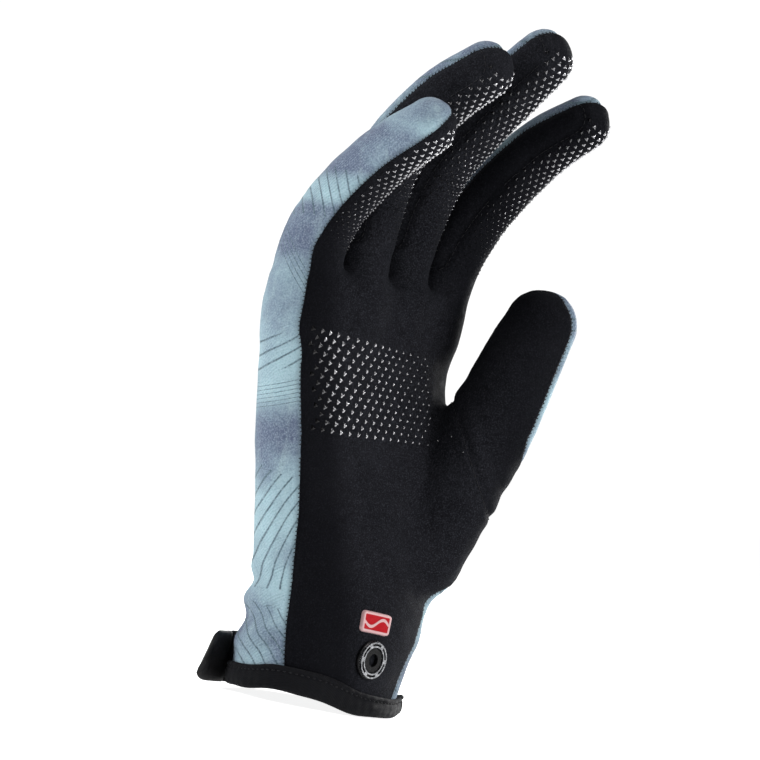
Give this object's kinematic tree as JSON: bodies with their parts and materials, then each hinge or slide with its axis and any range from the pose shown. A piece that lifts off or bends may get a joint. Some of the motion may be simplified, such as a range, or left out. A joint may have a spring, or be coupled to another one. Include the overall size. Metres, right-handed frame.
{
  "type": "sailing glove",
  "caption": "Right-hand full-finger sailing glove with suede palm, silicone grip dots, knit back, bound cuff, press stud and hook-and-loop wrist strap.",
  "frame": {"origin": "centre of the wrist opening, in the middle of the cuff binding", "axes": "+Z along the hand from the wrist towards the fingertips, -Y out of the palm, +X towards the thumb"},
  "size_m": [0.0964, 0.0703, 0.2162],
  "materials": {
    "suede": "black synthetic suede with a short nap",
    "knit": "pale blue stretch knit with a printed pattern of thin dark contour lines",
    "binding": "black folded elastic binding with one stitch line",
    "silicone": "glossy black screen-printed silicone dots",
    "badge": "soft moulded badge, red field with a plain pale wave, no words",
    "stud_black": "black enamelled press stud",
    "stud_metal": "nickel-plated ring, lightly worn",
    "webbing": "black woven webbing",
    "loop_pile": "black loop pile",
    "hook_tape": "black moulded hooks",
    "strap_rubber": "black ribbed rubber"
  },
  "bodies": {
    "hand": {"palm_panel": "suede", "back_panel": "knit", "thumb_gusset_palm": "suede", "thumb_gusset_back": "knit", "cuff_binding": "binding", "palm_grip_print": "silicone", "badge": "badge", "stud_base": "stud_black", "stud_ring": "stud_metal", "stud_socket": "stud_black", "stud_backing": "stud_metal", "strap_anchor": "webbing", "loop_patch": "loop_pile"},
    "strap": {"strap_band": "webbing", "hook_patch": "hook_tape"},
    "tab": {"pull_tab": "strap_rubber"},
    "index_base": {"index_base_palm": "suede", "index_base_back": "knit", "index_base_grip": "silicone"},
    "index_middle": {"index_middle_palm": "suede", "index_middle_back": "knit", "index_middle_grip": "silicone"},
    "index_tip": {"index_tip_palm": "suede", "index_tip_back": "knit", "index_tip_grip": "silicone"},
    "middle_base": {"middle_base_palm": "suede", "middle_base_back": "knit", "middle_base_grip": "silicone"},
    "middle_middle": {"middle_middle_palm": "suede", "middle_middle_back": "knit", "middle_middle_grip": "silicone"},
    "middle_tip": {"middle_tip_palm": "suede", "middle_tip_back": "knit", "middle_tip_grip": "silicone"},
    "ring_base": {"ring_base_palm": "suede", "ring_base_back": "knit", "ring_base_grip": "silicone"},
    "ring_middle": {"ring_middle_palm": "suede", "ring_middle_back": "knit", "ring_middle_grip": "silicone"},
    "ring_tip": {"ring_tip_palm": "suede", "ring_tip_back": "knit", "ring_tip_grip": "silicone"},
    "little_base": {"little_base_palm": "suede", "little_base_back": "knit", "little_base_grip": "silicone"},
    "little_middle": {"little_middle_palm": "suede", "little_middle_back": "knit", "little_middle_grip": "silicone"},
    "little_tip": {"little_tip_palm": "suede", "little_tip_back": "knit", "little_tip_grip": "silicone"},
    "thumb_base": {"thumb_base_palm": "suede", "thumb_base_back": "knit"},
    "thumb_tip": {"thumb_tip_palm": "suede", "thumb_tip_back": "knit"}
  },
  "joints": [
    {"name": "index_base_bend", "type": "hinge", "parent": "hand", "child": "index_base", "pos_m": [0.0285, 0.007, 0.137], "axis": [0.9986, 0, -0.0523], "range_deg": [-20, 45], "stiffness_Nm_per_rad": 0.04},
    {"name": "index_middle_bend", "type": "hinge", "parent": "index_base", "child": "index_middle", "pos_m": [0.02966, -0.00238, 0.15906], "axis": [0.9986, 0, -0.0523], "range_deg": [-15, 50], "stiffness_Nm_per_rad": 0.03},
    {"name": "index_tip_bend", "type": "hinge", "parent": "index_middle", "child": "index_tip", "pos_m": [0.03066, -0.01845, 0.17819], "axis": [0.9986, 0, -0.0523], "range_deg": [-9, 30]},
    {"name": "middle_base_bend", "type": "hinge", "parent": "hand", "child": "middle_base", "pos_m": [0.0086, 0.009, 0.14], "axis": [0.9998, 0, -0.0175], "range_deg": [-20, 45], "stiffness_Nm_per_rad": 0.04},
    {"name": "middle_middle_bend", "type": "hinge", "parent": "middle_base", "child": "middle_middle", "pos_m": [0.00907, 0.00223, 0.16716], "axis": [0.9998, 0, -0.0175], "range_deg": [-15, 50], "stiffness_Nm_per_rad": 0.03},
    {"name": "middle_tip_bend", "type": "hinge", "parent": "middle_middle", "child": "middle_tip", "pos_m": [0.00946, -0.01501, 0.18923], "axis": [0.9998, 0, -0.0175], "range_deg": [-9, 30]},
    {"name": "ring_base_bend", "type": "hinge", "parent": "hand", "child": "ring_base", "pos_m": [-0.0108, 0.007, 0.139], "axis": [1, 0, 0.0087], "range_deg": [-20, 45], "stiffness_Nm_per_rad": 0.04},
    {"name": "ring_middle_bend", "type": "hinge", "parent": "ring_base", "child": "ring_middle", "pos_m": [-0.01103, 0.00418, 0.16585], "axis": [1, 0, 0.0087], "range_deg": [-15, 50], "stiffness_Nm_per_rad": 0.03},
    {"name": "ring_tip_bend", "type": "hinge", "parent": "ring_middle", "child": "ring_tip", "pos_m": [-0.01121, -0.01087, 0.18582], "axis": [1, 0, 0.0087], "range_deg": [-9, 30]},
    {"name": "little_base_bend", "type": "hinge", "parent": "hand", "child": "little_base", "pos_m": [-0.0297, 0.0082, 0.1325], "axis": [0.9997, 0, 0.0262], "range_deg": [-20, 45], "stiffness_Nm_per_rad": 0.04},
    {"name": "little_middle_bend", "type": "hinge", "parent": "little_base", "child": "little_middle", "pos_m": [-0.03013, 0.00351, 0.14884], "axis": [0.9997, 0, 0.0262], "range_deg": [-15, 50], "stiffness_Nm_per_rad": 0.03},
    {"name": "little_tip_bend", "type": "hinge", "parent": "little_middle", "child": "little_tip", "pos_m": [-0.03056, -0.01121, 0.16518], "axis": [0.9997, 0, 0.0262], "range_deg": [-9, 30]},
    {"name": "thumb_base_spread", "type": "hinge", "parent": "hand", "child": "thumb_base", "pos_m": [0.0383, -0.0156, 0.091], "axis": [-0.3724, 0.8785, 0.2992], "range_deg": [-25, 25], "stiffness_Nm_per_rad": 0.06},
    {"name": "thumb_tip_bend", "type": "hinge", "parent": "thumb_base", "child": "thumb_tip", "pos_m": [0.03885, -0.02248, 0.11189], "axis": [-0.3724, 0.8785, 0.2992], "range_deg": [-45, 15], "stiffness_Nm_per_rad": 0.04},
    {"name": "strap_open", "type": "hinge", "parent": "hand", "child": "strap", "pos_m": [0.02589, 0.0157, 0.005], "axis": [0, 0, -1], "range_deg": [0, 110]},
    {"name": "tab_lift", "type": "hinge", "parent": "strap", "child": "tab", "pos_m": [-0.02081, 0.01915, 0.005], "axis": [0, 0, -1], "range_deg": [0, 60], "stiffness_Nm_per_rad": 0.01}
  ],
  "couplings": [
    {"joint": "index_tip_bend", "follows": "index_middle_bend", "ratio": 0.6},
    {"joint": "middle_tip_bend", "follows": "middle_middle_bend", "ratio": 0.6},
    {"joint": "ring_tip_bend", "follows": "ring_middle_bend", "ratio": 0.6},
    {"joint": "little_tip_bend", "follows": "little_middle_bend", "ratio": 0.6}
  ]
}
